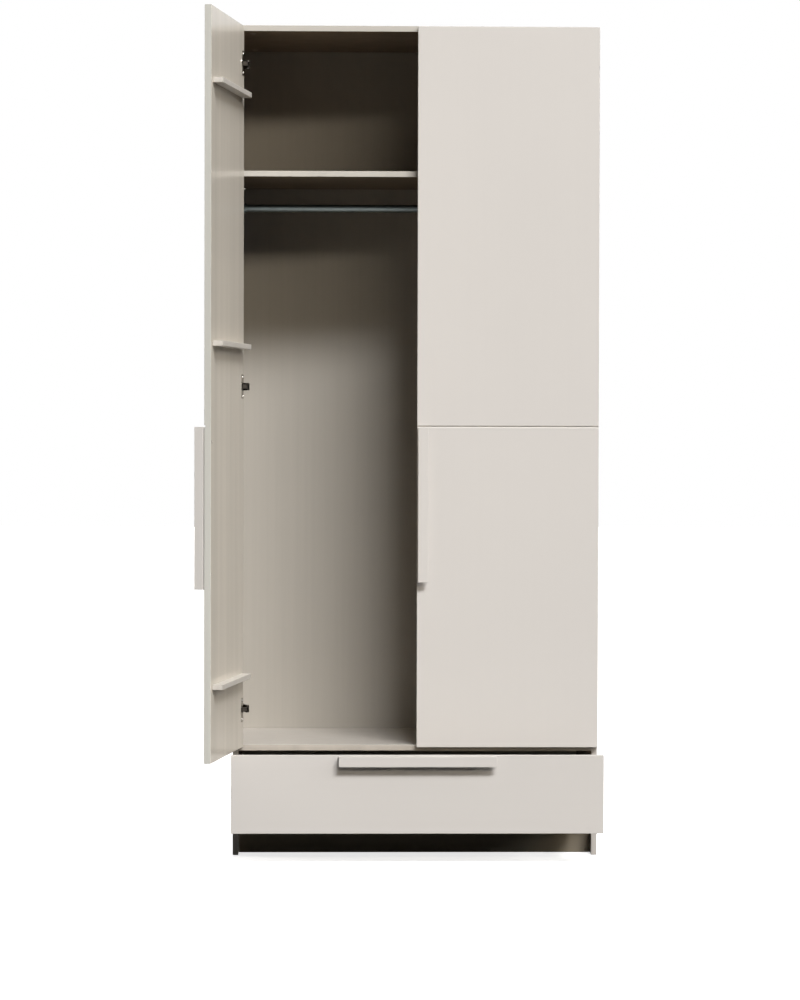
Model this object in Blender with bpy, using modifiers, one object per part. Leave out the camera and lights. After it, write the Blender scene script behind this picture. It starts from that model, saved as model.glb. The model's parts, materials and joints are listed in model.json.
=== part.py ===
"""Two-door wardrobe with a wide drawer: every separate piece, in metres, +Z up.

The origin is on the floor under the middle of the plinth board. +X points to the right of a person
facing the wardrobe and +Y to its back. Each piece is shaped where it stands with everything shut, and
the pivots at the end of the list of sizes then open the left door and the drawer.
"""
import math
from collections import namedtuple

import bmesh
import bpy
from mathutils import Vector

# Carcass
CASE_WIDTH = 0.945
CASE_HEIGHT = 2.145
CASE_DEPTH = 0.515
BOARD = 0.015
PLINTH_HEIGHT = 0.085
PLINTH_SETBACK = 0.060
FLOOR_RISE = 0.0049
SHELF_FROM_TOP = 0.373
SHELF_SETBACK = 0.020
BACK_THICK = 0.004
BACK_INSET = 0.006
BACK_TONGUE = 0.006
BACK_BOTTOM = 0.030

# Fits and edges
SEAT = 0.0003
ARRIS = 0.001
ARRIS_STEPS = 2
SHARP_EDGE = math.radians(40)

# Hanging rail and shelf pins
RAIL_FROM_SHELF = 0.082
RAIL_FROM_FRONT = 0.262
RAIL_RADIUS = 0.010
RAIL_WALL = 0.0012
SOCKET_FLANGE_RADIUS = 0.020
SOCKET_FLANGE = 0.003
SOCKET_COLLAR_WALL = 0.0025
SOCKET_LENGTH = 0.014
PIN_RADIUS = 0.0025
PIN_FREE_LENGTH = 0.009
PIN_BORE_DEPTH = 0.009
PIN_FROM_EDGE = 0.060
ROUND_STEPS = 32
PIN_STEPS = 16

# Doors
DOOR_THICK = 0.017
FRONT_GAP = 0.002
TOP_REVEAL = 0.0025
DRAWER_REVEAL = 0.0027
MEETING_GAP = 0.006
GROOVE_RISE = 0.8296
GROOVE_WIDTH = 0.004
GROOVE_DEPTH = 0.003
BATTEN_DEPTH = 0.0255
BATTEN_HEIGHT = 0.013
BATTEN_HINGE_INSET = 0.034
BATTEN_FREE_INSET = 0.022
BATTEN_UPPER_DROP = 0.1820
BATTEN_LOWER_RISE = 0.1866
BATTEN_MIDDLE_RISE = 0.1027

# Handles
HANDLE_LENGTH = 0.400
HANDLE_WIDTH = 0.026
HANDLE_DEPTH = 0.0245
HANDLE_INSET = 0.002
HANDLE_WALL = 0.0035
HANDLE_FOOT = 0.012
HANDLE_ARRIS = 0.0005
REBATE_WIDTH = 0.0013
REBATE_DEPTH = 0.004

# Cup hinges, measured inwards from the outer face of the side and forwards from the carcass front
HINGE_END_RISE = 0.098
HINGE_MIDDLE_RISE = 0.0015
CUP_CENTRE = 0.0225
CUP_RADIUS = 0.0175
CUP_DEPTH = 0.0115
CUP_SLOT_HALF = 0.016
CUP_SLOT_DEPTH = 0.0105
CUP_FLANGE_HEIGHT = 0.062
CUP_FLANGE_WIDTH = 0.026
CUP_FLANGE = 0.0012
CUP_PIVOT_INWARD = 0.011
CUP_PIVOT_DEPTH = 0.001
ARM_PIVOT_INWARD = 0.037
ARM_PIVOT_FORWARD = -0.008
LINK_PER_DOOR = 0.41
LINK_HEIGHT = 0.011
LINK_HALF_WIDTH = 0.0022
LINK_BEND_INWARD = 0.026
LINK_BEND_FORWARD = 0.006
LINK_STEPS = 8
ARM_HEIGHT = 0.0195
ARM_LENGTH = 0.064
ARM_DEPTH = 0.0105
ARM_NOSE = 0.005
ARM_NOSE_STEPS = 6
ARM_ROUNDING = 0.0015
ARM_CRANK_BACK = 0.026
FORK_BACK = 0.006
PLATE_THICK = 0.0032
PLATE_HEIGHT = 0.050
PLATE_LENGTH = 0.022
PLATE_FROM_FRONT = 0.037

# Drawer and its runners
DRAWER_FRONT_HEIGHT = 0.199
DRAWER_OVERLAP = 0.0053
DRAWER_BOX_RISE = 0.0303
DRAWER_BOX_HEIGHT = 0.120
DRAWER_BOX_LENGTH = 0.450
DRAWER_SIDE = 0.012
DRAWER_SHEET = 0.003
DRAWER_SHEET_RISE = 0.010
DRAWER_SHEET_TONGUE = 0.005
RUNNER_SPACE = 0.0127
RUNNER_LENGTH = 0.450
RUNNER_STEEL = 0.0012
OUTER_RUNNER_HEIGHT = 0.045
OUTER_RUNNER_DEPTH = 0.0095
INNER_RUNNER_HEIGHT = OUTER_RUNNER_HEIGHT - 2 * (RUNNER_STEEL + SEAT)
INNER_RUNNER_DEPTH = 0.0074
RUNNER_FROM_FRONT = 0.003

# How far the pieces stand open
LEFT_DOOR_OPEN = math.radians(98.8)
RIGHT_DOOR_OPEN = 0.0
DRAWER_OUT = 0.194

# Planes that several pieces share
HALF = CASE_WIDTH / 2
INNER_HALF = HALF - BOARD
FRONT_Y = -(PLINTH_SETBACK + BOARD / 2)
REAR_Y = FRONT_Y + CASE_DEPTH
BACK_Y = REAR_Y - BACK_INSET - BACK_THICK
DRAWER_FRONT_BOTTOM = PLINTH_HEIGHT - DRAWER_OVERLAP
DRAWER_FRONT_TOP = DRAWER_FRONT_BOTTOM + DRAWER_FRONT_HEIGHT
DRAWER_BOX_BOTTOM = DRAWER_FRONT_BOTTOM + DRAWER_BOX_RISE
DOOR_BOTTOM = DRAWER_FRONT_TOP + DRAWER_REVEAL
DOOR_TOP = CASE_HEIGHT - TOP_REVEAL
DOOR_MIDDLE = (DOOR_BOTTOM + DOOR_TOP) / 2
DOOR_WIDTH = HALF - MEETING_GAP / 2
FLOOR_TOP = DOOR_BOTTOM + FLOOR_RISE
SHELF_TOP = CASE_HEIGHT - SHELF_FROM_TOP
RAIL_Z = SHELF_TOP - RAIL_FROM_SHELF
GROOVE_Z = DOOR_BOTTOM + GROOVE_RISE
FRONT_FACE = FRONT_GAP + DOOR_THICK

HINGE_HEIGHTS = {
    "upper": DOOR_TOP - HINGE_END_RISE,
    "middle": DOOR_MIDDLE + HINGE_MIDDLE_RISE,
    "lower": DOOR_BOTTOM + HINGE_END_RISE,
}
BATTEN_HEIGHTS = {
    "upper": DOOR_TOP - BATTEN_UPPER_DROP,
    "middle": DOOR_MIDDLE + BATTEN_MIDDLE_RISE,
    "lower": DOOR_BOTTOM + BATTEN_LOWER_RISE,
}

# An empty on a joint axis, and where that axis is with everything shut
Pivot = namedtuple("Pivot", "empty home")


def new_collection(name):
    collection = bpy.data.collections.new(name)
    bpy.context.scene.collection.children.link(collection)
    return collection


def new_material(name, colour, roughness, metallic=0.0):
    material = bpy.data.materials.new(name)
    material.use_nodes = True
    shader = material.node_tree.nodes["Principled BSDF"]
    shader.inputs["Base Color"].default_value = (*colour, 1.0)
    shader.inputs["Roughness"].default_value = roughness
    shader.inputs["Metallic"].default_value = metallic
    return material


def new_object(name, bm, collection, pivot=None, place=(0.0, 0.0, 0.0)):
    """Object from a mesh under construction, standing at place with everything shut."""
    bm.normal_update()
    bmesh.ops.recalc_face_normals(bm, faces=bm.faces)
    mesh = bpy.data.meshes.new(name)
    bm.to_mesh(mesh)
    bm.free()
    result = bpy.data.objects.new(name, mesh)
    result.location = Vector(place)
    if pivot is not None:
        result.parent = pivot.empty
        result.location = Vector(place) - pivot.home
    collection.objects.link(result)
    return result


def box_mesh(size):
    bm = bmesh.new()
    bmesh.ops.create_cube(bm, size=1.0)
    bmesh.ops.scale(bm, vec=Vector(size), verts=bm.verts)
    return bm


def turned(axis, along, across, up):
    """Point with its first coordinate along X, Y or Z and the other two in that order."""
    if axis == "X":
        return Vector((along, across, up))
    if axis == "Y":
        return Vector((across, along, up))
    return Vector((across, up, along))


def prism_mesh(outline, axis, low, high):
    """Closed outline drawn across an axis and extruded along it."""
    bm = bmesh.new()
    face = bm.faces.new([bm.verts.new(turned(axis, low, p, q)) for p, q in outline])
    grown = bmesh.ops.extrude_face_region(bm, geom=[face])
    moved = [item for item in grown["geom"] if isinstance(item, bmesh.types.BMVert)]
    bmesh.ops.translate(bm, verts=moved, vec=turned(axis, high - low, 0.0, 0.0))
    return bm


def ring_mesh(profile, steps):
    """Closed profile of (along X, radius) points turned about the X axis."""
    bm = bmesh.new()
    corners = [bm.verts.new((along, 0.0, radius)) for along, radius in profile]
    edges = [bm.edges.new((corners[i - 1], corners[i])) for i in range(len(corners))]
    bmesh.ops.spin(
        bm, geom=corners + edges, cent=(0.0, 0.0, 0.0), axis=(1.0, 0.0, 0.0),
        angle=2 * math.pi, steps=steps, use_merge=True,
    )
    return bm


def cylinder_mesh(axis, radius, length, steps):
    bm = bmesh.new()
    bmesh.ops.create_cone(
        bm, cap_ends=True, segments=steps, radius1=radius, radius2=radius, depth=length,
    )
    for vert in bm.verts:
        vert.co = turned(axis, vert.co.z, vert.co.x, vert.co.y)
    return bm


def round_edges(piece, width=ARRIS):
    bevel = piece.modifiers.new("arris", "BEVEL")
    bevel.width = width
    bevel.segments = ARRIS_STEPS
    bevel.limit_method = "ANGLE"
    bevel.angle_limit = SHARP_EDGE


def combine(piece, tool, operation):
    boolean = piece.modifiers.new(tool.name, "BOOLEAN")
    boolean.operation = operation
    boolean.solver = "EXACT"
    boolean.object = tool


def middle(low, high):
    return tuple((a + b) / 2 for a, b in zip(low, high))


def extent(low, high):
    return tuple(abs(b - a) for a, b in zip(low, high))


class Bench:
    """Makes the pieces of the wardrobe and the hidden tools that shape them."""

    def __init__(self):
        self.pieces = new_collection("wardrobe")
        self.tools = new_collection("shaping_tools")
        self.lacquer = new_material("warm_grey_lacquer", (0.68, 0.64, 0.60), 0.5)
        self.melamine = new_material("warm_grey_board", (0.60, 0.56, 0.51), 0.55)
        self.hardboard = new_material("painted_hardboard", (0.56, 0.51, 0.46), 0.6)
        self.nickel = new_material("nickel_plate", (0.62, 0.61, 0.58), 0.3, 1.0)
        self.zinc = new_material("zinc_plate", (0.50, 0.51, 0.52), 0.4, 1.0)
        self.chrome = new_material("chrome_tube", (0.55, 0.57, 0.57), 0.2, 1.0)

    def finish(self, piece, material):
        piece.data.materials.append(material)
        return piece

    def board(self, name, low, high, material, pivot=None):
        piece = new_object(name, box_mesh(extent(low, high)), self.pieces, pivot, middle(low, high))
        round_edges(piece)
        return self.finish(piece, material)

    def prism(self, name, outline, axis, low, high, material, pivot=None):
        piece = new_object(name, prism_mesh(outline, axis, low, high), self.pieces, pivot)
        return self.finish(piece, material)

    def tool(self, name, bm, pivot=None, place=(0.0, 0.0, 0.0)):
        helper = new_object(name, bm, self.tools, pivot, place)
        helper.hide_render = True
        helper.display_type = "WIRE"
        return helper

    def box_tool(self, name, low, high, pivot=None):
        return self.tool(name, box_mesh(extent(low, high)), pivot, middle(low, high))

    def pivot(self, name, home, turn, carrier=None):
        """Empty on a joint axis, turned by its opening angle, on top of the axis that carries it."""
        empty = bpy.data.objects.new(name, None)
        empty.location = Vector(home)
        if carrier is not None:
            empty.parent = carrier.empty
            empty.location = Vector(home) - carrier.home
        empty.rotation_euler.z = turn
        empty.hide_render = True
        self.tools.objects.link(empty)
        return Pivot(empty, Vector(home))


def hands():
    """Each side's name, with the direction along X that leads inwards from it."""
    return (("left", 1), ("right", -1))


def plan(hand, inward, forward):
    """World x and y of a place measured from the outer front corner of one side."""
    return hand * (inward - HALF), FRONT_Y - forward


def plan_box(hand, inward, forward, heights):
    """Opposite corners of a box given by its spans inwards, forwards and upwards."""
    low_x, low_y = plan(hand, inward[0], forward[0])
    high_x, high_y = plan(hand, inward[1], forward[1])
    return (low_x, low_y, heights[0]), (high_x, high_y, heights[1])


def plan_outline(hand, outline):
    return [plan(hand, inward, forward) for inward, forward in outline]


def back_groove():
    return BACK_Y - SEAT, BACK_Y + BACK_THICK + SEAT, BACK_TONGUE + SEAT


def make_sides(bench):
    """Uprights with a groove for the back sheet and bores for the shelf pins."""
    near, far, depth = back_groove()
    for side, hand in hands():
        outer = -hand * HALF
        inner = -hand * INNER_HALF
        floor = inner - hand * depth
        outline = [
            (outer, FRONT_Y), (inner, FRONT_Y), (inner, near), (floor, near),
            (floor, far), (inner, far), (inner, REAR_Y), (outer, REAR_Y),
        ]
        panel = bench.prism(f"{side}_side", outline, "Z", 0.0, CASE_HEIGHT, bench.lacquer)
        round_edges(panel)
        for place, y in pin_places().items():
            bore = cylinder_mesh("X", PIN_RADIUS + SEAT, 2 * (PIN_BORE_DEPTH + SEAT), PIN_STEPS)
            tool = bench.tool(f"{side}_{place}_pin_bore", bore, None, (inner, y, pin_height()))
            combine(panel, tool, "DIFFERENCE")


def make_top(bench):
    near, far, depth = back_groove()
    low = CASE_HEIGHT - BOARD
    outline = [
        (FRONT_Y, low), (near, low), (near, low + depth), (far, low + depth),
        (far, low), (REAR_Y, low), (REAR_Y, CASE_HEIGHT), (FRONT_Y, CASE_HEIGHT),
    ]
    reach = INNER_HALF - SEAT
    round_edges(bench.prism("top_panel", outline, "X", -reach, reach, bench.lacquer))


def make_boards(bench):
    """Boards that span from side to side, and the back sheet in its grooves."""
    reach = INNER_HALF - SEAT
    rear = BACK_Y - SEAT
    spans = {
        "bottom_panel": (FRONT_Y, rear, FLOOR_TOP - BOARD, FLOOR_TOP),
        "shelf": (FRONT_Y + SHELF_SETBACK, rear, SHELF_TOP - BOARD, SHELF_TOP),
        "plinth_board": (-BOARD / 2, BOARD / 2, 0.0, PLINTH_HEIGHT),
        "rear_rail": (rear - BOARD, rear, 0.0, PLINTH_HEIGHT),
    }
    for name, (near, far, low, high) in spans.items():
        bench.board(name, (-reach, near, low), (reach, far, high), bench.melamine)
    sheet = INNER_HALF + BACK_TONGUE
    low = (-sheet, BACK_Y, BACK_BOTTOM)
    high = (sheet, BACK_Y + BACK_THICK, CASE_HEIGHT - BOARD + BACK_TONGUE)
    piece = new_object("back_panel", box_mesh(extent(low, high)), bench.pieces, None, middle(low, high))
    bench.finish(piece, bench.hardboard)


def pin_places():
    return {"front": FRONT_Y + SHELF_SETBACK + PIN_FROM_EDGE, "rear": BACK_Y - PIN_FROM_EDGE}


def pin_height():
    return SHELF_TOP - BOARD - SEAT - PIN_RADIUS


def make_shelf_pins(bench):
    length = PIN_BORE_DEPTH + PIN_FREE_LENGTH
    for side, hand in hands():
        centre = -hand * (INNER_HALF + PIN_BORE_DEPTH - length / 2)
        for place, y in pin_places().items():
            bm = cylinder_mesh("X", PIN_RADIUS, length, PIN_STEPS)
            pin = new_object(f"shelf_pin_{side}_{place}", bm, bench.pieces, None, (centre, y, pin_height()))
            bench.finish(pin, bench.nickel)


def make_hanging_rail(bench):
    """Tube that spans the hanging space, with its ends in two flanged sockets."""
    y = FRONT_Y + RAIL_FROM_FRONT
    reach = INNER_HALF - SEAT
    bore = RAIL_RADIUS - RAIL_WALL
    tube = [(-reach, bore), (reach, bore), (reach, RAIL_RADIUS), (-reach, RAIL_RADIUS)]
    rail = new_object("hanging_rail", ring_mesh(tube, ROUND_STEPS), bench.pieces, None, (0.0, y, RAIL_Z))
    bench.finish(rail, bench.chrome)
    inside = RAIL_RADIUS + SEAT
    collar = inside + SOCKET_COLLAR_WALL
    for side, hand in hands():
        profile = [
            (0.0, inside), (0.0, SOCKET_FLANGE_RADIUS), (hand * SOCKET_FLANGE, SOCKET_FLANGE_RADIUS),
            (hand * SOCKET_FLANGE, collar), (hand * SOCKET_LENGTH, collar), (hand * SOCKET_LENGTH, inside),
        ]
        place = (-hand * (INNER_HALF - SEAT), y, RAIL_Z)
        socket = new_object(f"rail_socket_{side}", ring_mesh(profile, ROUND_STEPS), bench.pieces, None, place)
        bench.finish(socket, bench.chrome)


def handle_outline(edge, direction, face):
    """Section of a handle: a channel open to the hinge side, with a small rebate along its fixed foot."""
    lip = HANDLE_DEPTH - HANDLE_WALL
    corners = (
        (REBATE_WIDTH, 0.0), (HANDLE_FOOT, 0.0), (HANDLE_FOOT, HANDLE_WALL), (HANDLE_WALL, HANDLE_WALL),
        (HANDLE_WALL, lip), (HANDLE_WIDTH, lip), (HANDLE_WIDTH, HANDLE_DEPTH), (0.0, HANDLE_DEPTH),
        (0.0, REBATE_DEPTH), (REBATE_WIDTH, REBATE_DEPTH),
    )
    return [(edge + direction * inward, face - SEAT - forward) for inward, forward in corners]


def make_door(bench, side, hand, pivot):
    """Door leaf with its cross groove and cup bores, the battens behind it and the handle."""
    inner_y = FRONT_Y - FRONT_GAP
    front_y = FRONT_Y - FRONT_FACE
    groove_low = GROOVE_Z - GROOVE_WIDTH / 2
    groove_high = GROOVE_Z + GROOVE_WIDTH / 2
    floor_y = front_y + GROOVE_DEPTH
    outline = [
        (inner_y, DOOR_BOTTOM), (inner_y, DOOR_TOP), (front_y, DOOR_TOP), (front_y, groove_high),
        (floor_y, groove_high), (floor_y, groove_low), (front_y, groove_low), (front_y, DOOR_BOTTOM),
    ]
    edges = sorted((plan(hand, 0.0, 0.0)[0], plan(hand, DOOR_WIDTH, 0.0)[0]))
    leaf = bench.prism(f"{side}_door", outline, "X", edges[0], edges[1], bench.lacquer, pivot)
    round_edges(leaf)
    cup_x = plan(hand, CUP_CENTRE, 0.0)[0]
    for level, z in HINGE_HEIGHTS.items():
        bore = cylinder_mesh("Y", CUP_RADIUS + SEAT, 2 * (CUP_DEPTH + SEAT), ROUND_STEPS)
        tool = bench.tool(f"{side}_{level}_cup_bore", bore, pivot, (cup_x, inner_y, z))
        combine(leaf, tool, "DIFFERENCE")
    batten_span = (BATTEN_HINGE_INSET, DOOR_WIDTH - BATTEN_FREE_INSET)
    batten_depth = (FRONT_GAP - SEAT - BATTEN_DEPTH, FRONT_GAP - SEAT)
    for level, z in BATTEN_HEIGHTS.items():
        heights = (z - BATTEN_HEIGHT / 2, z + BATTEN_HEIGHT / 2)
        low, high = plan_box(hand, batten_span, batten_depth, heights)
        bench.board(f"{side}_door_batten_{level}", low, high, bench.lacquer, pivot)
    free_x = plan(hand, DOOR_WIDTH - HANDLE_INSET, 0.0)[0]
    section = handle_outline(free_x, -hand, front_y)
    low = groove_low - HANDLE_LENGTH
    handle = bench.prism(f"{side}_door_handle", section, "Z", low, groove_low, bench.lacquer, pivot)
    round_edges(handle, HANDLE_ARRIS)


def make_hinge_cup(bench, side, level, hand, pivot):
    """Cup let into the door, with its screw flange and the slot that the link folds into."""
    z = HINGE_HEIGHTS[level]
    face = FRONT_GAP - SEAT
    crown = face - CUP_FLANGE
    floor = FRONT_GAP + CUP_DEPTH
    half_width = CUP_FLANGE_WIDTH / 2
    low, high = plan_box(
        hand, (CUP_CENTRE - half_width, CUP_CENTRE + half_width), (crown, face),
        (z - CUP_FLANGE_HEIGHT / 2, z + CUP_FLANGE_HEIGHT / 2),
    )
    name = f"{side}_hinge_cup_{level}"
    cup = new_object(name, box_mesh(extent(low, high)), bench.pieces, pivot, middle(low, high))
    body = cylinder_mesh("Y", CUP_RADIUS, floor - crown, ROUND_STEPS)
    centre_x, centre_y = plan(hand, CUP_CENTRE, (crown + floor) / 2)
    combine(cup, bench.tool(f"{name}_body", body, pivot, (centre_x, centre_y, z)), "UNION")
    slot_low, slot_high = plan_box(
        hand, (CUP_CENTRE - CUP_SLOT_HALF, CUP_CENTRE + CUP_SLOT_HALF),
        (crown - CUP_DEPTH, FRONT_GAP + CUP_SLOT_DEPTH),
        (z - LINK_HEIGHT / 2 - SEAT, z + LINK_HEIGHT / 2 + SEAT),
    )
    combine(cup, bench.box_tool(f"{name}_slot", slot_low, slot_high, pivot), "DIFFERENCE")
    bench.finish(cup, bench.nickel)


def arc(centre, radius, start, end, steps):
    points = []
    for step in range(steps + 1):
        angle = start + (end - start) * step / steps
        points.append((centre[0] + radius * math.cos(angle), centre[1] + radius * math.sin(angle)))
    return points


def link_outline():
    """Hooked strip from the cup's pivot to the arm's pivot, drawn with the door shut."""
    start = Vector((CUP_PIVOT_INWARD, FRONT_GAP + CUP_PIVOT_DEPTH))
    end = Vector((ARM_PIVOT_INWARD, ARM_PIVOT_FORWARD))
    bend = Vector((LINK_BEND_INWARD, LINK_BEND_FORWARD))
    control = 2 * bend - (start + end) / 2
    left = []
    right = []
    for step in range(LINK_STEPS + 1):
        t = step / LINK_STEPS
        centre = start * (1 - t) ** 2 + control * (2 * t * (1 - t)) + end * t ** 2
        run = (control - start) * (1 - t) + (end - control) * t
        across = Vector((-run.y, run.x)).normalized() * LINK_HALF_WIDTH
        left.append(centre + across)
        right.append(centre - across)
    tail = math.atan2(end.y - control.y, end.x - control.x)
    head = math.atan2(start.y - control.y, start.x - control.x)
    quarter = math.pi / 2
    end_cap = arc(end, LINK_HALF_WIDTH, tail + quarter, tail - quarter, LINK_STEPS)[1:-1]
    start_cap = arc(start, LINK_HALF_WIDTH, head + quarter, head - quarter, LINK_STEPS)[1:-1]
    strip = [tuple(point) for point in left] + end_cap
    return strip + [tuple(point) for point in reversed(right)] + start_cap


def make_hinge_link(bench, side, level, hand, pivot):
    z = HINGE_HEIGHTS[level]
    low = z - LINK_HEIGHT / 2
    high = z + LINK_HEIGHT / 2
    outline = plan_outline(hand, link_outline())
    bench.prism(f"{side}_hinge_link_{level}", outline, "Z", low, high, bench.nickel, pivot)


def arm_outline():
    """Cranked arm from its tail on the mounting plate to the rounded nose round the link's pivot."""
    foot = BOARD + SEAT + PLATE_THICK / 2
    back = foot + ARM_DEPTH
    tail = ARM_PIVOT_FORWARD - ARM_LENGTH
    crank = ARM_PIVOT_FORWARD - ARM_CRANK_BACK
    nose = arc((ARM_PIVOT_INWARD, ARM_PIVOT_FORWARD), ARM_NOSE, 0.0, math.pi, ARM_NOSE_STEPS)
    neck = ARM_PIVOT_FORWARD - ARM_NOSE - FORK_BACK
    return [
        (foot, crank), (foot, tail), (back, tail), (back, crank),
        (ARM_PIVOT_INWARD + ARM_NOSE, neck), *nose, (ARM_PIVOT_INWARD - ARM_NOSE, neck),
    ]


def make_hinge_arm(bench, side, level, hand):
    """Arm fixed to the side by its plate, forked at the front to carry the link."""
    z = HINGE_HEIGHTS[level]
    name = f"{side}_hinge_arm_{level}"
    low = z - ARM_HEIGHT / 2
    high = z + ARM_HEIGHT / 2
    arm = bench.prism(name, plan_outline(hand, arm_outline()), "Z", low, high, bench.nickel)
    round_edges(arm, ARM_ROUNDING)
    plate_face = BOARD + SEAT
    plate_near = -PLATE_FROM_FRONT - PLATE_LENGTH / 2
    plate_low, plate_high = plan_box(
        hand, (plate_face, plate_face + PLATE_THICK), (plate_near, plate_near + PLATE_LENGTH),
        (z - PLATE_HEIGHT / 2, z + PLATE_HEIGHT / 2),
    )
    combine(arm, bench.box_tool(f"{name}_plate", plate_low, plate_high), "UNION")
    fork_low, fork_high = plan_box(
        hand, (ARM_PIVOT_INWARD - 2 * ARM_NOSE, ARM_PIVOT_INWARD + 2 * ARM_NOSE),
        (ARM_PIVOT_FORWARD - FORK_BACK, ARM_PIVOT_FORWARD + 2 * ARM_NOSE),
        (z - LINK_HEIGHT / 2 - SEAT, z + LINK_HEIGHT / 2 + SEAT),
    )
    combine(arm, bench.box_tool(f"{name}_fork", fork_low, fork_high), "DIFFERENCE")


def make_doors(bench):
    """Both doors with their hinges: each door turns in its cups while the links turn back on the arms."""
    openings = {"left": LEFT_DOOR_OPEN, "right": RIGHT_DOOR_OPEN}
    for side, hand in hands():
        link_turn = hand * LINK_PER_DOOR * openings[side]
        door_turn = -hand * openings[side]
        arm_pivot = (*plan(hand, ARM_PIVOT_INWARD, ARM_PIVOT_FORWARD), 0.0)
        cup_pivot = (*plan(hand, CUP_PIVOT_INWARD, FRONT_GAP + CUP_PIVOT_DEPTH), 0.0)
        links = bench.pivot(f"{side}_link_axis", arm_pivot, link_turn)
        cups = bench.pivot(f"{side}_cup_axis", cup_pivot, door_turn - link_turn, links)
        make_door(bench, side, hand, cups)
        for level in HINGE_HEIGHTS:
            make_hinge_cup(bench, side, level, hand, cups)
            make_hinge_link(bench, side, level, hand, links)
            make_hinge_arm(bench, side, level, hand)


def make_drawer_front(bench, slide):
    """Full-width drawer front and the handle under its top edge, open below."""
    back_y = FRONT_Y - FRONT_GAP
    front_y = FRONT_Y - FRONT_FACE
    low = (-HALF, front_y, DRAWER_FRONT_BOTTOM)
    high = (HALF, back_y, DRAWER_FRONT_TOP)
    bench.board("drawer_front", low, high, bench.lacquer, slide)
    section = handle_outline(DRAWER_FRONT_TOP - HANDLE_INSET, -1.0, front_y)
    outline = [(depth, height) for height, depth in section]
    reach = HANDLE_LENGTH / 2
    handle = bench.prism("drawer_handle", outline, "X", -reach, reach, bench.lacquer, slide)
    round_edges(handle, HANDLE_ARRIS)


def make_drawer_box(bench, slide):
    """Grooved sides, back and bottom sheet behind the drawer front."""
    near = FRONT_Y - FRONT_GAP + SEAT
    far = near + DRAWER_BOX_LENGTH
    outer = INNER_HALF - RUNNER_SPACE
    inner = outer - DRAWER_SIDE
    low = DRAWER_BOX_BOTTOM
    high = low + DRAWER_BOX_HEIGHT
    sheet_low = low + DRAWER_SHEET_RISE
    sheet_high = sheet_low + DRAWER_SHEET
    groove = inner + DRAWER_SHEET_TONGUE + SEAT
    for side, hand in hands():
        section = [
            (inner, low), (outer, low), (outer, high), (inner, high), (inner, sheet_high + SEAT),
            (groove, sheet_high + SEAT), (groove, sheet_low - SEAT), (inner, sheet_low - SEAT),
        ]
        outline = [(-hand * x, z) for x, z in section]
        bench.prism(f"drawer_side_{side}", outline, "Y", near, far, bench.melamine, slide)
    back_x = inner - SEAT
    bench.board(
        "drawer_back", (-back_x, far - DRAWER_SIDE, sheet_high + SEAT), (back_x, far, high),
        bench.melamine, slide,
    )
    sheet_x = inner + DRAWER_SHEET_TONGUE
    sheet = ((-sheet_x, near, sheet_low), (sheet_x, far, sheet_high))
    bottom = new_object("drawer_bottom", box_mesh(extent(*sheet)), bench.pieces, slide, middle(*sheet))
    bench.finish(bottom, bench.hardboard)


def channel_outline(web, lip, height, centre):
    """Steel channel seen from its end: its web stands at web and its flanges reach to lip."""
    steel = math.copysign(RUNNER_STEEL, lip - web)
    low = centre - height / 2
    high = centre + height / 2
    return [
        (web, low), (lip, low), (lip, low + RUNNER_STEEL), (web + steel, low + RUNNER_STEEL),
        (web + steel, high - RUNNER_STEEL), (lip, high - RUNNER_STEEL), (lip, high), (web, high),
    ]


def make_runners(bench, slide):
    """Channel on each side and the narrower channel on the drawer that runs inside it."""
    centre = DRAWER_BOX_BOTTOM + DRAWER_BOX_HEIGHT / 2
    near = FRONT_Y + RUNNER_FROM_FRONT
    far = near + RUNNER_LENGTH
    fixed = INNER_HALF - SEAT
    moving = INNER_HALF - RUNNER_SPACE + SEAT
    for side, hand in hands():
        outer = channel_outline(
            -hand * fixed, -hand * (fixed - OUTER_RUNNER_DEPTH), OUTER_RUNNER_HEIGHT, centre,
        )
        bench.prism(f"runner_outer_{side}", outer, "Y", near, far, bench.zinc)
        inner = channel_outline(
            -hand * moving, -hand * (moving + INNER_RUNNER_DEPTH), INNER_RUNNER_HEIGHT, centre,
        )
        bench.prism(f"runner_inner_{side}", inner, "Y", near, far, bench.zinc, slide)


def make_drawer(bench):
    slide = bench.pivot("drawer_axis", (0.0, 0.0, 0.0), 0.0)
    slide.empty.location.y -= DRAWER_OUT
    make_drawer_front(bench, slide)
    make_drawer_box(bench, slide)
    make_runners(bench, slide)


def main():
    for existing in list(bpy.data.objects):
        bpy.data.objects.remove(existing, do_unlink=True)
    bench = Bench()
    make_sides(bench)
    make_top(bench)
    make_boards(bench)
    make_shelf_pins(bench)
    make_hanging_rail(bench)
    make_doors(bench)
    make_drawer(bench)


main()
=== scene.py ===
"""Looks of the wardrobe: finishes, small fasteners, floor, light and camera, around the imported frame.

Metres, +Z up, in the part's own frame: the floor is at zero, the doors face -Y.
"""

import json
import math
from collections import namedtuple
from functools import partial

import bmesh
import bpy
from mathutils import Matrix, Vector


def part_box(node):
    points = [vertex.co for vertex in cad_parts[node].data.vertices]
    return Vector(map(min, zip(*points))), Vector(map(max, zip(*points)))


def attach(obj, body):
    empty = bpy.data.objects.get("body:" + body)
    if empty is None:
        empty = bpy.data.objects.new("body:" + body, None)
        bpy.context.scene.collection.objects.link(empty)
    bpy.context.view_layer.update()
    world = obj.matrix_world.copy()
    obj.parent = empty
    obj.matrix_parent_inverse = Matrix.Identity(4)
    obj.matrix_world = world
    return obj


# Camera at the photograph's viewing angle
CAMERA_PLACE = (-0.2857, -9.1839, 1.1087)
CAMERA_YAW = math.radians(-1.539)
CAMERA_PITCH = math.radians(-1.179)
CAMERA_ROLL = math.radians(-0.138)
CAMERA_LENS = 126.85
CAMERA_SENSOR = 36.0
CAMERA_CLIP_END = 100.0

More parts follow.
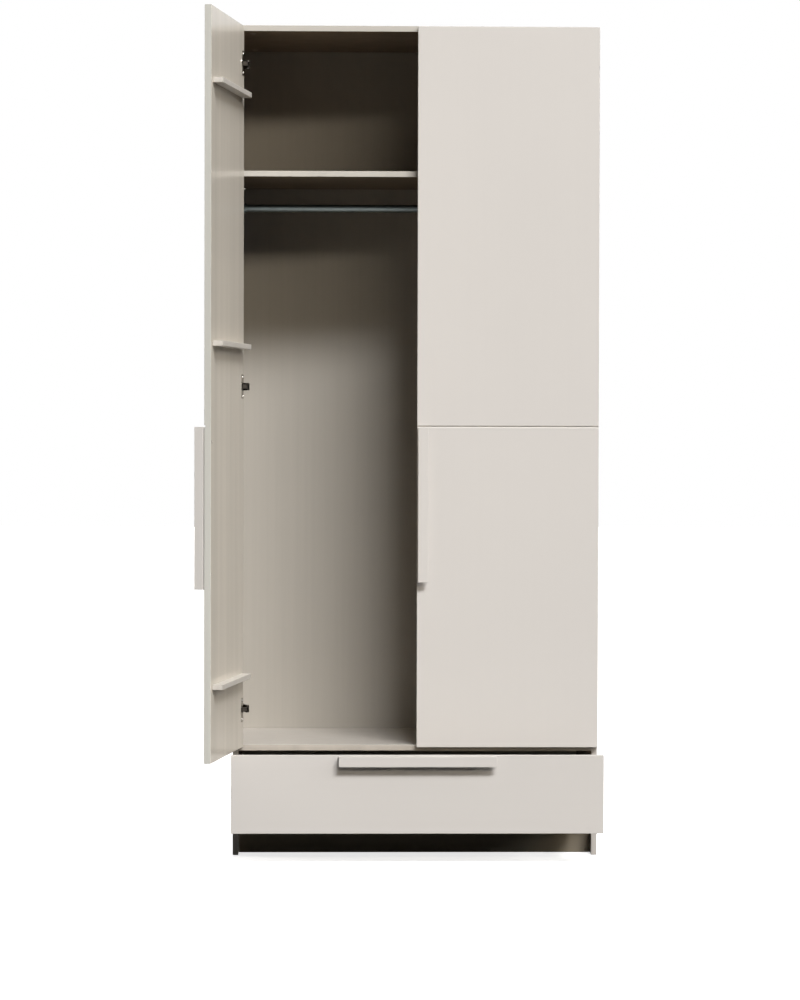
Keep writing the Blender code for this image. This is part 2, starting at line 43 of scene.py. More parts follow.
# Long level lamps, far enough away to light top and bottom alike; angles in degrees, azimuth to the right
LAMP_DISTANCE = 40.0
LAMP_AIM = (0.0, -0.1, 1.1)
LAMP_COLOUR = (1.0, 0.985, 0.965)
KEY_COLOUR = (0.98, 0.985, 1.0)
FILL_COLOUR = (1.0, 0.90, 0.74)
Lamp = namedtuple("Lamp", "azimuth half_span elevation height power")
KEY = Lamp(azimuth=20.8, half_span=18.8, elevation=42.4, height=6.3, power=18670)
FILL = Lamp(azimuth=20.8, half_span=18.8, elevation=21.2, height=2.3, power=3850)
SIDE = Lamp(azimuth=68.0, half_span=9.0, elevation=25.0, height=8.0, power=2800)
LEFT = Lamp(azimuth=-112.0, half_span=12.0, elevation=10.0, height=10.0, power=9000)
BACK = Lamp(azimuth=172.0, half_span=15.0, elevation=12.0, height=10.0, power=8000)

# Light from all round: none from in front, and growing behind over a range of its direction's Y
AMBIENT_FRONT = 0.0
AMBIENT_REAR = 0.55
AMBIENT_TURN = (0.0, 0.5)
BACKGROUND = 1.0
WHITE = (1.0, 1.0, 1.0)

# Floor: pale where it is seen, dark to the light that it would throw back up
FLOOR_HALF = 30.0
FLOOR_DROP = 0.0006
FLOOR_COLOUR = (0.90, 0.90, 0.90)
FLOOR_UNSEEN_COLOUR = (0.04, 0.04, 0.04)
FLOOR_GLOW = 0.75
FLOOR_ROUGHNESS = 0.9

# Colours of boards and steel
LACQUER = (0.620, 0.592, 0.563)
EDGE_BAND = (0.530, 0.502, 0.454)
DOOR_EDGE = (0.590, 0.580, 0.533)
BOARD_COLOUR = (0.575, 0.540, 0.495)
DOOR_LINING = (0.660, 0.611, 0.536)
BATTEN = (0.600, 0.566, 0.518)
# Painted shade: the case's inner faces, the shelf and the top's underside are dark brown to stand in for the shade
# inside the case
CASE_LINING_PAINTED_SHADE = (0.190, 0.150, 0.108)
CEILING_PAINTED_SHADE = (0.310, 0.245, 0.180)
# Painted shade: the front edges of the bottom panel and of the sides are darker to stand in for the shade of the
# doors and the drawer on them
FLOOR_EDGE_PAINTED_SHADE = (0.460, 0.420, 0.370)
SIDE_EDGE_PAINTED_SHADE = (0.486, 0.456, 0.424)
# Painted shade: the plinth is darker and browner to stand in for the shade under the drawer
PLINTH_PAINTED_SHADE = (0.370, 0.318, 0.245)
HARDBOARD = (0.427, 0.400, 0.357)
NICKEL = (0.74, 0.72, 0.68)
# Painted reflection: the hinge cups' steel is darker than the other nickel, to stand in for the dark inside of the
# case that they mirror
CUP_STEEL_PAINTED_REFLECTION = (0.42, 0.40, 0.36)
DARK_NICKEL = (0.040, 0.035, 0.030)
ZINC = (0.56, 0.57, 0.58)
# Painted reflection: the rail's chrome is dark grey-blue to stand in for the dark surroundings that it mirrors
TUBE_PAINTED_REFLECTION = (0.115, 0.132, 0.130)

# Gloss of boards: roughness and specular level
LACQUER_ROUGHNESS = 0.42
LINING_ROUGHNESS = 0.24
BOARD_ROUGHNESS = 0.52
LACQUER_SPECULAR = 0.2
BOARD_SPECULAR = 0.01
PLINTH_SPECULAR = 0.06
EGGSHELL = (LACQUER_ROUGHNESS, LACQUER_SPECULAR)
SATIN = (LINING_ROUGHNESS, LACQUER_SPECULAR)
MATT = (BOARD_ROUGHNESS, BOARD_SPECULAR)
DULL = (BOARD_ROUGHNESS, PLINTH_SPECULAR)

# Grain of boards: how far the tone strays, and how close the noise is along each axis
LACQUER_GRAIN = 0.003
LINING_GRAIN = 0.07
BOARD_GRAIN = 0.02
BATTEN_GRAIN = 0.04
UPRIGHT_GRAIN = (70.0, 70.0, 1.3)
LEVEL_GRAIN = (1.3, 70.0, 70.0)
DEPTH_GRAIN = (70.0, 1.3, 70.0)
CAP_GRAIN = (200.0, 200.0, 200.0)
LINING_STREAKS = (17.0, 17.0, 0.6)

# Slow mottling, patches of gloss and fine ripple of boards
EVEN = (1.0, 1.0, 1.0)
MOTTLE_SCALE = 2.6
MOTTLE_DEPTH = 0.008
PATCH_SCALE = 28.0
PATCH_SPREAD = 0.008
RIPPLE_SCALE = 420.0
RIPPLE_STRENGTH = 0.06
RIPPLE_HEIGHT = 0.0004

# Steel: roughness, drawing lines along the way each piece was drawn, and uneven polish
BRIGHT_ROUGHNESS = 0.20
DARK_ROUGHNESS = 0.34
ZINC_ROUGHNESS = 0.42
TUBE_ROUGHNESS = 0.46
UPRIGHT_LINES = (900.0, 900.0, 40.0)
DEPTH_LINES = (900.0, 40.0, 900.0)
RUNNER_LINES = (600.0, 20.0, 600.0)
TUBE_LINES = (3.0, 260.0, 260.0)
LINE_DEPTH = 0.05
LINE_STRENGTH = 0.02
LINE_HEIGHT = 0.0001
POLISH_SCALE = 160.0
POLISH_DEPTH = 0.03
POLISH_SPREAD = 0.06

# Noise: the part of its range that is used, and its detail
NOISE_LOW = 0.3
NOISE_HIGH = 0.7
GRAIN_DETAIL = 5.0
LINE_DETAIL = 4.0
STREAK_DETAIL = 3.0
SOFT_DETAIL = 2.0

# Cosine between a face and a coat's direction, where the coat begins and where it is whole
COAT_BEGINS = 0.65
COAT_WHOLE = 0.75

# Sockets of a mix node of colours, whose names are not unique
MIX_FACTOR = 0
MIX_A = 6
MIX_B = 7
MIX_RESULT = 2

# Fasteners
SCREW_RADIUS = 0.0034
SCREW_HEIGHT = 0.0012
SCREW_RECESS = 0.0007
SCREW_CROSS = 0.0021
SCREW_CROSS_HALF = 0.0005
SCREW_CROSS_TAPER = 0.7
CUP_SCREW_INSET = 0.0065
PLATE_THICK = 0.0032
PLATE_SCREW_INSET = 0.007
PLATE_SCREW_BACK = 0.035
ARM_RISE = 0.0121
ARM_SCREWS_BACK = (0.011, 0.029)
ARM_HALF_HEIGHT = 0.00975
RIVET_RADIUS = 0.0019
RIVET_HEIGHT = 0.0006
NAIL_RADIUS = 0.0017
NAIL_HEIGHT = 0.0007
NAIL_PITCH = 0.145
NAIL_FROM_SIDE = 0.03
NAIL_FROM_FOOT = 0.012
RAIL_FLANGE = 0.003
RAIL_SCREW_RING = 0.0164
RAIL_SCREW_RADIUS = 0.0022
RAIL_SCREW_HEIGHT = 0.0009
RAIL_SCREW_TURNS = (90, 210, 330)
HANDLE_SCREW_INSET = 0.0075
HANDLE_SCREW_FROM_END = 0.037
CAP_RADIUS = 0.0085
CAP_HEIGHT = 0.0008
CAP_FROM_SIDE = 0.034
CAP_FROM_EDGE = 0.060
ROUND_STEPS = 24
DOME_STEPS = 3
DOME_CROWN = 0.62
DOME_SHOULDER = 0.4
LIFT = 0.0001

LEFTWARD = Vector((-1.0, 0.0, 0.0))
RIGHTWARD = Vector((1.0, 0.0, 0.0))
FORWARD = Vector((0.0, -1.0, 0.0))
BACKWARD = Vector((0.0, 1.0, 0.0))
DOWNWARD = Vector((0.0, 0.0, -1.0))
UPWARD = Vector((0.0, 0.0, 1.0))
LEVELS = ("upper", "middle", "lower")
SIDES = ("left", "right")

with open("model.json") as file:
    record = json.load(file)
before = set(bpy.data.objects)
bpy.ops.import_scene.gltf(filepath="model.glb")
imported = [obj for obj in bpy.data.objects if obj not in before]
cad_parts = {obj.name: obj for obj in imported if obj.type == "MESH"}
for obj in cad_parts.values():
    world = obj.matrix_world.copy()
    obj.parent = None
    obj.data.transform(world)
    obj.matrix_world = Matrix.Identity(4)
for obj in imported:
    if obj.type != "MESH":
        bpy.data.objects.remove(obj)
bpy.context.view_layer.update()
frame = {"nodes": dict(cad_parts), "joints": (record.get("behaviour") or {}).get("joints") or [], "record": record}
nodes = frame["nodes"]
scene = bpy.context.scene


def add_node(tree, kind, settings=None, **sockets):
    """New shader node with attributes from settings and socket values by name."""
    made = tree.nodes.new(kind)
    for key, value in (settings or {}).items():
        setattr(made, key, value)
    for name, value in sockets.items():
        made.inputs[name.replace("_", " ")].default_value = value
    return made


def join(tree, source, output, target, socket):
    tree.links.new(source.outputs[output], target.inputs[socket])


def opaque(colour, share=1.0):
    return (*(part * share for part in colour), 1.0)


def colour_mix(tree, low, high):
    mix = add_node(tree, "ShaderNodeMix", {"data_type": "RGBA"})
    mix.inputs[MIX_A].default_value = low
    mix.inputs[MIX_B].default_value = high
    return mix


def new_material(name, roughness, metallic=0.0):
    material = bpy.data.materials.new(name)
    material.use_nodes = True
    tree = material.node_tree
    shader = tree.nodes["Principled BSDF"]
    shader.inputs["Roughness"].default_value = roughness
    shader.inputs["Metallic"].default_value = metallic
    return material, tree, shader


def scaled_noise(tree, scale, frequency, detail):
    """Noise over the object's own coordinates, stretched by a scale per axis."""
    place = add_node(tree, "ShaderNodeTexCoord")
    stretch = add_node(tree, "ShaderNodeMapping", Scale=scale)
    noise = add_node(tree, "ShaderNodeTexNoise", Scale=frequency, Detail=detail)
    join(tree, place, "Object", stretch, "Vector")
    join(tree, stretch, "Vector", noise, "Vector")
    return noise


def ranged(tree, noise, low, high):
    spread = add_node(
        tree, "ShaderNodeMapRange", From_Min=NOISE_LOW, From_Max=NOISE_HIGH, To_Min=low, To_Max=high,
    )
    join(tree, noise, "Fac", spread, "Value")
    return spread


def coated(tree, colour, coats):
    """Main colour, with each coat's colour and its broad streaks on the faces turned to the coat's direction.

    Returns the node of the colours, and the node that is one where the first coat is.
    """
    place = add_node(tree, "ShaderNodeTexCoord")
    streaks = ranged(tree, scaled_noise(tree, LINING_STREAKS, 1.0, STREAK_DETAIL), 0.0, 1.0)
    under = None
    masks = []
    for coat, facing in coats:
        streaked = colour_mix(tree, opaque(coat, 1.0 - LINING_GRAIN), opaque(coat, 1.0 + LINING_GRAIN))
        join(tree, streaks, "Result", streaked, MIX_FACTOR)
        turned = add_node(tree, "ShaderNodeVectorMath", {"operation": "DOT_PRODUCT"})
        turned.inputs[1].default_value = facing
        join(tree, place, "Normal", turned, 0)
        mask = add_node(
            tree, "ShaderNodeMapRange", From_Min=COAT_BEGINS, From_Max=COAT_WHOLE, To_Min=0.0, To_Max=1.0,
        )
        join(tree, turned, "Value", mask, "Value")
        pick = colour_mix(tree, opaque(colour), opaque(coat))
        if under is not None:
            join(tree, under, MIX_RESULT, pick, MIX_A)
        join(tree, streaked, MIX_RESULT, pick, MIX_B)
        join(tree, mask, "Result", pick, MIX_FACTOR)
        under = pick
        masks.append(mask)
    return under, masks[0]


def tinted(tree, shader, colour, layers, tones=None):
    """Colour, or the tones of a node, made lighter and darker by layers of noise with a depth each."""
    total, output = None, "Result"
    for noise, depth in layers:
        layer = ranged(tree, noise, 1.0 - depth, 1.0 + depth)
        if total is None:
            total = layer
            continue
        product = add_node(tree, "ShaderNodeMath", {"operation": "MULTIPLY"})
        join(tree, total, output, product, 0)
        join(tree, layer, "Result", product, 1)
        total, output = product, "Value"
    tint = add_node(tree, "ShaderNodeVectorMath", {"operation": "SCALE"})
    tint.inputs[0].default_value = colour
    if tones is not None:
        join(tree, tones, MIX_RESULT, tint, 0)
    join(tree, total, output, tint, "Scale")
    join(tree, tint, "Vector", shader, "Base Color")


def bumped(tree, shader, noise, strength, distance):
    bump = add_node(tree, "ShaderNodeBump", Strength=strength, Distance=distance)
    join(tree, noise, "Fac", bump, "Height")
    join(tree, bump, "Normal", shader, "Normal")


def painted_board(name, colour, gloss, grain, grain_depth, coats=()):
    """Painted or foiled board: faint grain, slow mottling and the fine ripple of a sprayed coat.

    Faces turned to a coat's direction have the coat's colour, such as a lining or an edge band, some of which are
    painted shade.
    The first coat is as smooth as a lining.
    """
    roughness, specular = gloss
    material, tree, shader = new_material(name, roughness)
    shader.inputs["Specular IOR Level"].default_value = specular
    streaks = scaled_noise(tree, grain, 1.0, GRAIN_DETAIL)
    tones, lining = coated(tree, colour, coats) if coats else (None, None)
    clouds = scaled_noise(tree, EVEN, MOTTLE_SCALE, SOFT_DETAIL)
    ripple = scaled_noise(tree, EVEN, RIPPLE_SCALE, SOFT_DETAIL)
    patches = scaled_noise(tree, EVEN, PATCH_SCALE, SOFT_DETAIL)
    tinted(tree, shader, colour, ((streaks, grain_depth), (clouds, MOTTLE_DEPTH)), tones)
    rough = ranged(tree, patches, roughness - PATCH_SPREAD, roughness + PATCH_SPREAD)
    join(tree, rough, "Result", shader, "Roughness")
    if lining:
        smoother = add_node(tree, "ShaderNodeMix", {"data_type": "FLOAT"}, B=LINING_ROUGHNESS)
        join(tree, lining, "Result", smoother, "Factor")
        join(tree, rough, "Result", smoother, "A")
        join(tree, smoother, "Result", shader, "Roughness")
    bumped(tree, shader, ripple, RIPPLE_STRENGTH, RIPPLE_HEIGHT)
    return material


def plated_steel(name, colour, roughness, drawn):
    """Plated steel with fine drawing lines and uneven polish."""
    material, tree, shader = new_material(name, roughness, metallic=1.0)
    lines = scaled_noise(tree, drawn, 1.0, LINE_DETAIL)
    patches = scaled_noise(tree, EVEN, POLISH_SCALE, SOFT_DETAIL)
    tinted(tree, shader, colour, ((lines, LINE_DEPTH), (patches, POLISH_DEPTH)))
    rough = ranged(tree, patches, roughness - POLISH_SPREAD, roughness + POLISH_SPREAD)
    join(tree, rough, "Result", shader, "Roughness")
    bumped(tree, shader, lines, LINE_STRENGTH, LINE_HEIGHT)
    return material


def finishes():
    """A material for each slot of the record, and for the nodes and pieces that have one of their own."""
    boards = {
        "lacquer": ("lacquer_upright", LACQUER, EGGSHELL, UPRIGHT_GRAIN, LACQUER_GRAIN),
        "lacquer_level": ("lacquer_level", LACQUER, EGGSHELL, LEVEL_GRAIN, LACQUER_GRAIN),
        "left_batten": ("left_batten_finish", BATTEN, EGGSHELL, DEPTH_GRAIN, BATTEN_GRAIN),
        "right_batten": ("right_batten_finish", BATTEN, EGGSHELL, LEVEL_GRAIN, BATTEN_GRAIN),
        "board": ("board_level", BOARD_COLOUR, MATT, LEVEL_GRAIN, BOARD_GRAIN),
        # The plinth's darker, browner colour is painted shade
        "plinth": ("plinth_painted_shade_finish", PLINTH_PAINTED_SHADE, DULL, LEVEL_GRAIN, BOARD_GRAIN),
        "hardboard": ("hardboard", HARDBOARD, MATT, UPRIGHT_GRAIN, BOARD_GRAIN),
        # The caps take the ceiling's painted shade colour
        "cap": ("cap_plastic_painted_shade", CEILING_PAINTED_SHADE, EGGSHELL, CAP_GRAIN, BOARD_GRAIN),
    }
    steels = {
        "nickel_steel": (NICKEL, BRIGHT_ROUGHNESS, UPRIGHT_LINES),
        # Darker copy of the nickel, a painted reflection
        "cup_steel_painted_reflection": (CUP_STEEL_PAINTED_REFLECTION, BRIGHT_ROUGHNESS, UPRIGHT_LINES),
        "dark_nickel": (DARK_NICKEL, DARK_ROUGHNESS, DEPTH_LINES),
        "zinc_steel": (ZINC, ZINC_ROUGHNESS, RUNNER_LINES),
        # Chrome made dark, a painted reflection
        "chrome_tube": (TUBE_PAINTED_REFLECTION, TUBE_ROUGHNESS, TUBE_LINES),
    }
    made = {finish: painted_board(*values) for finish, values in boards.items()}
    made.update((finish, plated_steel(finish, *values)) for finish, values in steels.items())
    return made


def lined_boards():
    """Materials of the nodes with more than one tone: a lining inside, or a band on an edge; the case's linings
    and the sides' and bottom panel's edge bands are painted shade.
    """
    # Painted shade on the sides' front edges
    side_edge_shade = (SIDE_EDGE_PAINTED_SHADE, FORWARD)
    boards = {
        "left_side": (UPRIGHT_GRAIN, LACQUER, EGGSHELL, [(CASE_LINING_PAINTED_SHADE, RIGHTWARD), side_edge_shade]),
        "right_side": (UPRIGHT_GRAIN, LACQUER, EGGSHELL, [(CASE_LINING_PAINTED_SHADE, LEFTWARD), side_edge_shade]),
        "top_panel": (LEVEL_GRAIN, EDGE_BAND, MATT, [(CEILING_PAINTED_SHADE, DOWNWARD)]),
        "drawer_front": (LEVEL_GRAIN, LACQUER, EGGSHELL, [(DOOR_LINING, BACKWARD)]),
        "shelf": (LEVEL_GRAIN, CASE_LINING_PAINTED_SHADE, MATT, [(EDGE_BAND, FORWARD)]),
        "bottom_panel": (LEVEL_GRAIN, BOARD_COLOUR, SATIN, [(FLOOR_EDGE_PAINTED_SHADE, FORWARD)]),
    }
    for side in SIDES:
        along, inward = door_axes(side)
        coats = [(DOOR_LINING, inward), (DOOR_EDGE, along)]
        boards[f"{side}_door"] = (UPRIGHT_GRAIN, LACQUER, EGGSHELL, coats)
    return {name: painted_board(f"{name}_finish", colour, gloss, grain, LACQUER_GRAIN, coats)
            for name, (grain, colour, gloss, coats) in boards.items()}


def finish_of(name, slot):
    """Finish of a node: its slot's, unless nodes of its kind have one of their own."""
    if name == "drawer_handle":
        return "lacquer_level"
    if name == "plinth_board":
        return "plinth"
    if "_batten_" in name:
        return f"{name.split('_')[0]}_batten"
    if "_hinge_arm_" in name or "_hinge_link_" in name:
        return "dark_nickel"
    # The cups get the darker steel, a painted reflection
    if "_hinge_cup_" in name:
        return "cup_steel_painted_reflection"
    return slot


def dress_nodes(materials):
    slots = {part["node"]: part["material_slot"] for part in frame["record"]["subparts"]}
    lined = lined_boards()
    for name, piece in nodes.items():
        plain = materials[finish_of(name, slots[name])]
        piece.data.materials.clear()
        piece.data.materials.append(lined.get(name, plain))


def dome_profile(radius, height):
    """Radius and height of the rings of a low domed head, from its rim to its crown."""
    rings = [(radius, 0.0)]
    for step in range(DOME_STEPS):
        angle = math.pi / 2 * step / DOME_STEPS
        ring_radius = radius * (DOME_CROWN + (1.0 - DOME_CROWN) * math.cos(angle))
        ring_height = height * (DOME_SHOULDER + (1.0 - DOME_SHOULDER) * math.sin(angle))
        rings.append((ring_radius, ring_height))
    return rings


def ring_of(bm, radius, height):
    turn = 2 * math.pi / ROUND_STEPS
    return [bm.verts.new((radius * math.cos(turn * i), radius * math.sin(turn * i), height))
            for i in range(ROUND_STEPS)]


def loop_edges(bm, ring):
    return [bm.edges.get((ring[i - 1], ring[i])) or bm.edges.new((ring[i - 1], ring[i]))
            for i in range(len(ring))]


def head_mesh(bm, radius, height):
    """Low domed head standing on its rim; returns its top ring."""
    rings = [ring_of(bm, r, z) for r, z in dome_profile(radius, height)]
    bm.faces.new(reversed(rings[0]))
    for low, high in zip(rings, rings[1:]):
        for i in range(ROUND_STEPS):
            bm.faces.new((low[i - 1], low[i], high[i], high[i - 1]))
    return rings[-1]


def plain_head(bm, radius, height):
    bm.faces.new(head_mesh(bm, radius, height))


def screw_head(bm):
    """Domed head with a cross recess."""
    crown = head_mesh(bm, SCREW_RADIUS, SCREW_HEIGHT)
    a, b = SCREW_CROSS, SCREW_CROSS_HALF
    cross = [
        (a, -b), (a, b), (b, b), (b, a), (-b, a), (-b, b),
        (-a, b), (-a, -b), (-b, -b), (-b, -a), (b, -a), (b, -b),
    ]
    taper = SCREW_CROSS_TAPER
    rim = [bm.verts.new((x, y, SCREW_HEIGHT)) for x, y in cross]
    floor = [bm.verts.new((x * taper, y * taper, SCREW_HEIGHT - SCREW_RECESS)) for x, y in cross]
    bmesh.ops.bridge_loops(bm, edges=loop_edges(bm, crown) + loop_edges(bm, rim))
    for i in range(len(cross)):
        bm.faces.new((rim[i - 1], rim[i], floor[i], floor[i - 1]))
    bm.faces.new(floor)


def group(name, make, places, material, body):
    """One piece made of equal small fasteners, each standing on a place and pointing along a normal."""
    bm = bmesh.new()
    for place, normal in places:
        one = bmesh.new()
        make(one)
        facing = normal.to_track_quat("Z", "Y").to_matrix().to_4x4()
        stand = Matrix.Translation(place + normal * LIFT) @ facing
        bmesh.ops.transform(one, matrix=stand, verts=one.verts)
        part = bpy.data.meshes.new("one")
        one.to_mesh(part)
        one.free()
        bm.from_mesh(part)
        bpy.data.meshes.remove(part)
    bmesh.ops.recalc_face_normals(bm, faces=bm.faces)
    mesh = bpy.data.meshes.new(name)
    bm.to_mesh(mesh)
    bm.free()
    piece = bpy.data.objects.new(name, mesh)
    scene.collection.objects.link(piece)
    mesh.materials.append(material)
    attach(piece, body)


def centre_of(name):
    low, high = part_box(name)
    return (low + high) / 2


def reach(name, direction):
    """Furthest distance of a node's points along a direction."""
    return max(Vector(v.co).dot(direction) for v in nodes[name].data.vertices)


def spot(along, inward, run, depth, z):
    place = along * run + inward * depth
    return Vector((place.x, place.y, z))


def door_axes(side):
    """Unit vectors of a door at rest: from its hinge edge to its free edge, and out of its inner face."""
    door = nodes[f"{side}_door"].data
    broad = max(door.polygons, key=lambda face: face.area)
    inward = Vector((broad.normal.x, broad.normal.y, 0.0)).normalized()
    middle = sum((Vector(v.co) for v in door.vertices), Vector()) / len(door.vertices)
    cup = centre_of(f"{side}_hinge_cup_middle")
    batten = centre_of(f"{side}_door_batten_middle")
    if (batten - middle).dot(inward) < 0:
        inward.negate()
    along = Vector((inward.y, -inward.x, 0.0))
    if (middle - cup).dot(along) < 0:
        along.negate()
    return along, inward


def from_wall(side, fitting):
    """Where a fitting meets the case's side, and the direction from there into the case."""
    low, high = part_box(fitting)
    if side == "left":
        return low.x, RIGHTWARD
    return high.x, LEFTWARD


def cup_screw_places(side):
    along, inward = door_axes(side)
    places = []
    for level in LEVELS:
        cup = f"{side}_hinge_cup_{level}"
        low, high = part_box(cup)
        run = (reach(cup, along) - reach(cup, -along)) / 2
        depth = reach(cup, inward)
        for z in (low.z + CUP_SCREW_INSET, high.z - CUP_SCREW_INSET):
            places.append((spot(along, inward, run, depth, z), inward))
    return places


def arm_screw_places(side):
    """Two screws through each mounting plate, then two along each arm."""
    places = []
    for level in LEVELS:
        arm = f"{side}_hinge_arm_{level}"
        low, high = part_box(arm)
        wall, out = from_wall(side, arm)
        for z in (low.z + PLATE_SCREW_INSET, high.z - PLATE_SCREW_INSET):
            places.append((Vector((wall + out.x * PLATE_THICK, low.y + PLATE_SCREW_BACK, z)), out))
        for back in ARM_SCREWS_BACK:
            places.append((Vector((wall + out.x * ARM_RISE, low.y + back, centre_of(arm).z)), out))
    return places


def pivot_rivet_places(side):
    """Both ends of the pin on which each link turns in its arm."""
    joint = next(j for j in frame["joints"] if j["name"] == f"{side}_link_pivot")
    x, y = joint["pos_m"][:2]
    places = []
    for level in LEVELS:
        low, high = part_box(f"{side}_hinge_arm_{level}")
        middle = (low.z + high.z) / 2
        places.append((Vector((x, y, middle + ARM_HALF_HEIGHT)), UPWARD))
        places.append((Vector((x, y, middle - ARM_HALF_HEIGHT)), DOWNWARD))
    return places


def hinge_fasteners(materials):
    """Screws of the cup flanges, plates and arms, and the rivets of the link pivots."""
    steel = materials["nickel_steel"]
    rivet = partial(plain_head, radius=RIVET_RADIUS, height=RIVET_HEIGHT)
    for side in SIDES:
        group(f"{side}_cup_screws", screw_head, cup_screw_places(side), steel, f"{side}_door")
        group(f"{side}_arm_screws", screw_head, arm_screw_places(side), steel, "carcass")
        group(f"{side}_pivot_rivets", rivet, pivot_rivet_places(side), steel, "carcass")


def handle_screws(materials):
    """Screws into the foot of each handle, driven from the inner face of its door or drawer front."""
    steel = materials["cup_steel_painted_reflection"]
    for side in SIDES:
        along, inward = door_axes(side)
        handle = f"{side}_door_handle"
        low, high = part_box(handle)
        run = reach(handle, along) - HANDLE_SCREW_INSET
        depth = reach(f"{side}_door", inward)
        heights = (low.z + HANDLE_SCREW_FROM_END, high.z - HANDLE_SCREW_FROM_END)
        places = [(spot(along, inward, run, depth, z), inward) for z in heights]
        group(f"{side}_handle_screws", screw_head, places, steel, f"{side}_door")
    low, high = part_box("drawer_handle")
    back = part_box("drawer_front")[1].y
    level = high.z - HANDLE_SCREW_INSET
    spread = (low.x + HANDLE_SCREW_FROM_END, high.x - HANDLE_SCREW_FROM_END)
    places = [(Vector((x, back, level)), BACKWARD) for x in spread]
    group("drawer_handle_screws", screw_head, places, steel, "drawer")


def rail_screws(materials):
    """Three small heads round each flange that holds the hanging rail."""
    steel = materials["nickel_steel"]
    head = partial(plain_head, radius=RAIL_SCREW_RADIUS, height=RAIL_SCREW_HEIGHT)
    for side in SIDES:
        socket = f"rail_socket_{side}"
        middle = centre_of(socket)
        wall, out = from_wall(side, socket)
        places = []
        for turn in RAIL_SCREW_TURNS:
            y = middle.y + RAIL_SCREW_RING * math.cos(math.radians(turn))
            z = middle.z + RAIL_SCREW_RING * math.sin(math.radians(turn))
            places.append((Vector((wall + out.x * RAIL_FLANGE, y, z)), out))
        group(f"rail_screws_{side}", head, places, steel, "carcass")


def back_nails(materials):
    """Nails that hold the back sheet to the boards in front of it."""
    low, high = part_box("back_panel")
    run = high.x - low.x - 2 * NAIL_FROM_SIDE
    count = int(run / NAIL_PITCH)
    places = []
    for board in ("rear_rail", "bottom_panel", "shelf"):
        z = max(centre_of(board).z, low.z + NAIL_FROM_FOOT)
        for i in range(count + 1):
            places.append((Vector((low.x + NAIL_FROM_SIDE + run * i / count, high.y, z)), BACKWARD))
    head = partial(plain_head, radius=NAIL_RADIUS, height=NAIL_HEIGHT)
    group("back_nails", head, places, materials["nickel_steel"], "carcass")


def cam_caps(materials):
    """Plastic caps over the cam fittings under the top and the bottom panel."""
    places = []
    for board in ("top_panel", "bottom_panel"):
        low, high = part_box(board)
        for x in (low.x + CAP_FROM_SIDE, high.x - CAP_FROM_SIDE):
            for y in (low.y + CAP_FROM_EDGE, high.y - CAP_FROM_EDGE):
                places.append((Vector((x, y, low.z)), DOWNWARD))
    cap = partial(plain_head, radius=CAP_RADIUS, height=CAP_HEIGHT)
    group("cam_caps", cap, places, materials["cap"], "carcass")


def make_camera():
    data = bpy.data.cameras.new("camera")
    data.sensor_width = CAMERA_SENSOR
    data.lens = CAMERA_LENS
    data.clip_end = CAMERA_CLIP_END
    camera = bpy.data.objects.new("camera", data)
    turn = (Matrix.Rotation(CAMERA_YAW, 4, "Z") @ Matrix.Rotation(CAMERA_PITCH, 4, "X")
            @ Matrix.Rotation(CAMERA_ROLL, 4, "Y") @ Matrix.Rotation(math.pi / 2, 4, "X"))
    camera.matrix_world = Matrix.Translation(CAMERA_PLACE) @ turn
    scene.collection.objects.link(camera)
    scene.camera = camera


def make_lamp(name, lamp, colour=LAMP_COLOUR, mirrored=True):
    """Long level lamp turned to face the object, which may show it in its gloss."""
    elevation = math.radians(lamp.elevation)
    azimuth = math.radians(lamp.azimuth)
    level = math.cos(elevation)
    data = bpy.data.lights.new(name, "AREA")
    data.shape = "RECTANGLE"
    data.size = 2 * LAMP_DISTANCE * level * math.tan(math.radians(lamp.half_span))
    data.size_y = lamp.height
    data.energy = lamp.power
    data.color = colour
    holder = bpy.data.objects.new(name, data)
    holder.visible_camera = False
    holder.visible_glossy = mirrored
    way = Vector((math.sin(azimuth) * level, -math.cos(azimuth) * level, math.sin(elevation)))
    holder.matrix_world = (Matrix.Translation(Vector(LAMP_AIM) + way * LAMP_DISTANCE)
                           @ way.to_track_quat("Z", "Y").to_matrix().to_4x4())
    scene.collection.objects.link(holder)


def seen_directly(tree):
    """Node and output that are one for rays to the camera, in gloss or through glass."""
    path = add_node(tree, "ShaderNodeLightPath")
    source, output = path, "Is Camera Ray"
    for ray in ("Is Glossy Ray", "Is Transmission Ray"):
        either = add_node(tree, "ShaderNodeMath", {"operation": "MAXIMUM"})
        join(tree, source, output, either, 0)
        join(tree, path, ray, either, 1)
        source, output = either, "Value"
    return source, output


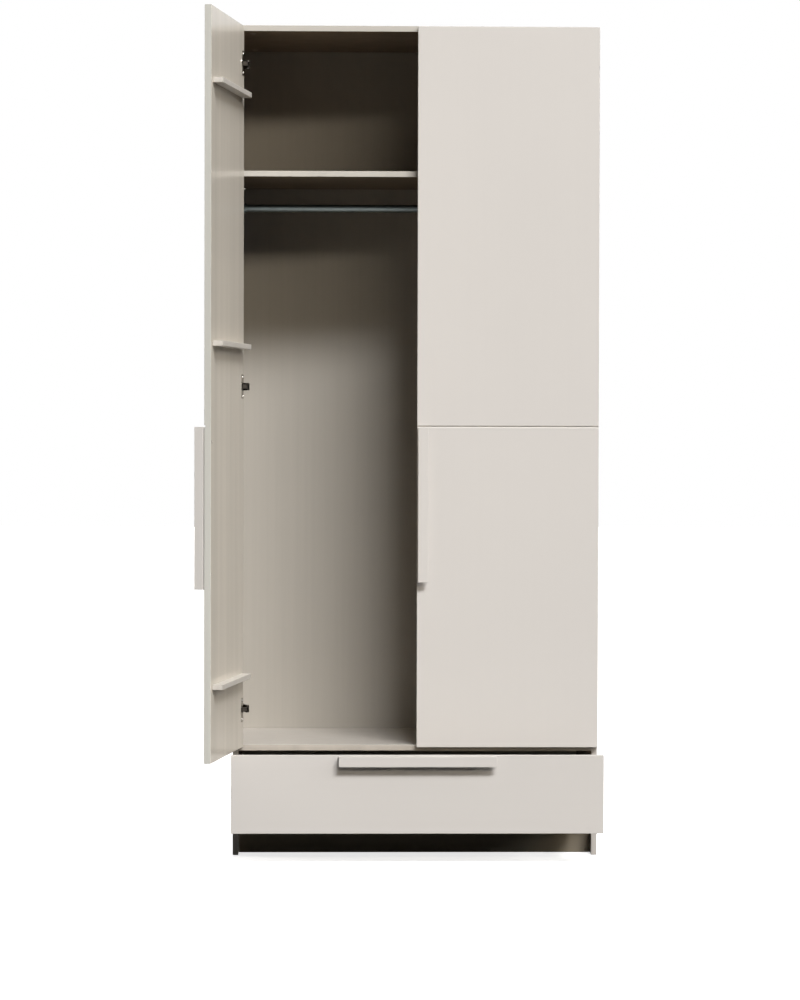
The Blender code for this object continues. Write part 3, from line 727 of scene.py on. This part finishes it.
def make_world():
    """White to rays that show the background; to others, light only from behind the object."""
    world = bpy.data.worlds.new("studio")
    scene.world = world
    world.use_nodes = True
    tree = world.node_tree
    shade = tree.nodes["Background"]
    shade.inputs["Color"].default_value = opaque(WHITE)
    place = add_node(tree, "ShaderNodeTexCoord")
    parts = add_node(tree, "ShaderNodeSeparateXYZ")
    around = add_node(
        tree, "ShaderNodeMapRange", From_Min=AMBIENT_TURN[0], From_Max=AMBIENT_TURN[1],
        To_Min=AMBIENT_FRONT, To_Max=AMBIENT_REAR,
    )
    pick = add_node(tree, "ShaderNodeMix", {"data_type": "FLOAT"}, B=BACKGROUND)
    join(tree, place, "Generated", parts, "Vector")
    join(tree, parts, "Y", around, "Value")
    source, output = seen_directly(tree)
    join(tree, source, output, pick, "Factor")
    join(tree, around, "Result", pick, "A")
    join(tree, pick, "Result", shade, "Strength")


def make_floor():
    """Pale floor that shows the object's shadow, and throws little light back up."""
    mesh = bpy.data.meshes.new("floor")
    half = FLOOR_HALF
    corners = [(-half, -half), (half, -half), (half, half), (-half, half)]
    mesh.from_pydata([(x, y, -FLOOR_DROP) for x, y in corners], [], [(0, 1, 2, 3)])
    floor = bpy.data.objects.new("floor", mesh)
    scene.collection.objects.link(floor)
    material, tree, shader = new_material("pale_floor", FLOOR_ROUGHNESS)
    shader.inputs["Specular IOR Level"].default_value = 0.0
    shader.inputs["Emission Color"].default_value = opaque(WHITE)
    source, output = seen_directly(tree)
    tone = colour_mix(tree, opaque(FLOOR_UNSEEN_COLOUR), opaque(FLOOR_COLOUR))
    glow = add_node(tree, "ShaderNodeMath", {"operation": "MULTIPLY"})
    glow.inputs[1].default_value = FLOOR_GLOW
    join(tree, source, output, tone, MIX_FACTOR)
    join(tree, source, output, glow, 0)
    join(tree, tone, MIX_RESULT, shader, "Base Color")
    join(tree, glow, "Value", shader, "Emission Strength")
    mesh.materials.append(material)


materials = finishes()
dress_nodes(materials)
hinge_fasteners(materials)
handle_screws(materials)
rail_screws(materials)
back_nails(materials)
cam_caps(materials)
make_camera()
make_lamp("key_lamp", KEY, KEY_COLOUR)
make_lamp("fill_lamp", FILL, FILL_COLOUR)
make_lamp("side_lamp", SIDE)
make_lamp("left_lamp", LEFT)
make_lamp("back_lamp", BACK, mirrored=False)
make_world()
make_floor()
scene.view_settings.view_transform = "Standard"
